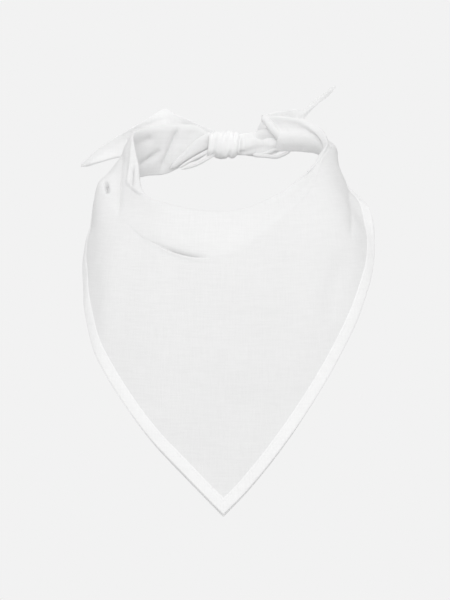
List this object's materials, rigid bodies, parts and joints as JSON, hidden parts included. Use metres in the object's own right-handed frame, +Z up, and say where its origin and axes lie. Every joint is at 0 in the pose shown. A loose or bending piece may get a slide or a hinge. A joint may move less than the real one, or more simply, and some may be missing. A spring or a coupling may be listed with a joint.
{
  "type": "neckerchief",
  "caption": "Worn white cotton neckerchief: a folded square with a hemmed triangular front, a draped collar and a knot with tails at the back.",
  "frame": {"origin": "the middle of the neck opening, where a neck sits", "axes": "+Z up, -Y to the front where the triangle hangs, +X to the viewer's right"},
  "size_m": [0.2612, 0.2198, 0.3577],
  "materials": {
    "cotton": "matte woven cotton",
    "cotton_hem": "matte woven cotton, stitched double hem",
    "cotton_inner": "matte woven cotton, inner side"
  },
  "bodies": {
    "root": {"bib": "cotton", "collar_roll": "cotton", "knot": "cotton", "knot_strand": "cotton", "hem_left": "cotton_hem", "hem_right": "cotton_hem", "under_layer": "cotton_inner", "neck_band_left": "cotton_inner", "neck_band_right": "cotton_inner", "tail_left": "cotton_inner", "tail_right": "cotton_inner"}
  },
  "joints": []
}
